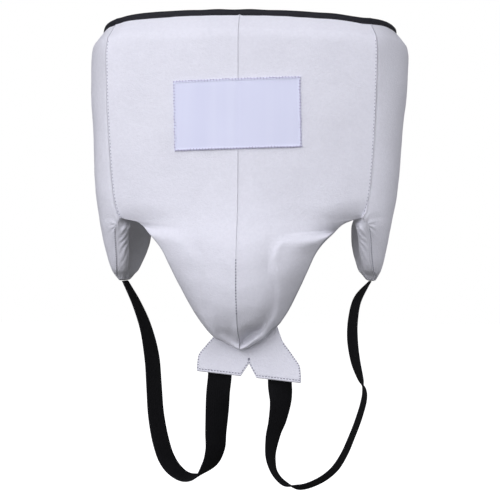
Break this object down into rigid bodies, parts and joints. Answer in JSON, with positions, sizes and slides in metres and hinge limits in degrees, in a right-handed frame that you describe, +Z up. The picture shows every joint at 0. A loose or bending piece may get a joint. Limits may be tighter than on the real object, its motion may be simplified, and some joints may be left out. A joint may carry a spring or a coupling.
{
  "type": "groin guard",
  "caption": "Padded leather groin guard with a domed cup, hip wings ending in hanging lobes, a bound top edge, a bare front patch, a tail flap and elastic leg straps.",
  "frame": {"origin": "middle of the waist opening, level with the top of the binding, where the wearer's waist sits", "axes": "+X to the right seen from the front, +Y back through the wearer's body (the front faces -Y), +Z up"},
  "size_m": [0.3328, 0.1766, 0.4887],
  "materials": {
    "white_leather": "smooth, semi-matt",
    "black_webbing": "woven",
    "patch_fabric": "satin"
  },
  "bodies": {
    "root": {"front_panel_left": "white_leather", "front_panel_right": "white_leather", "side_wing_left": "white_leather", "side_wing_right": "white_leather", "top_binding": "black_webbing", "front_patch": "patch_fabric", "tail_flap": "white_leather", "leg_strap_left": "black_webbing", "leg_strap_right": "black_webbing"}
  },
  "joints": []
}
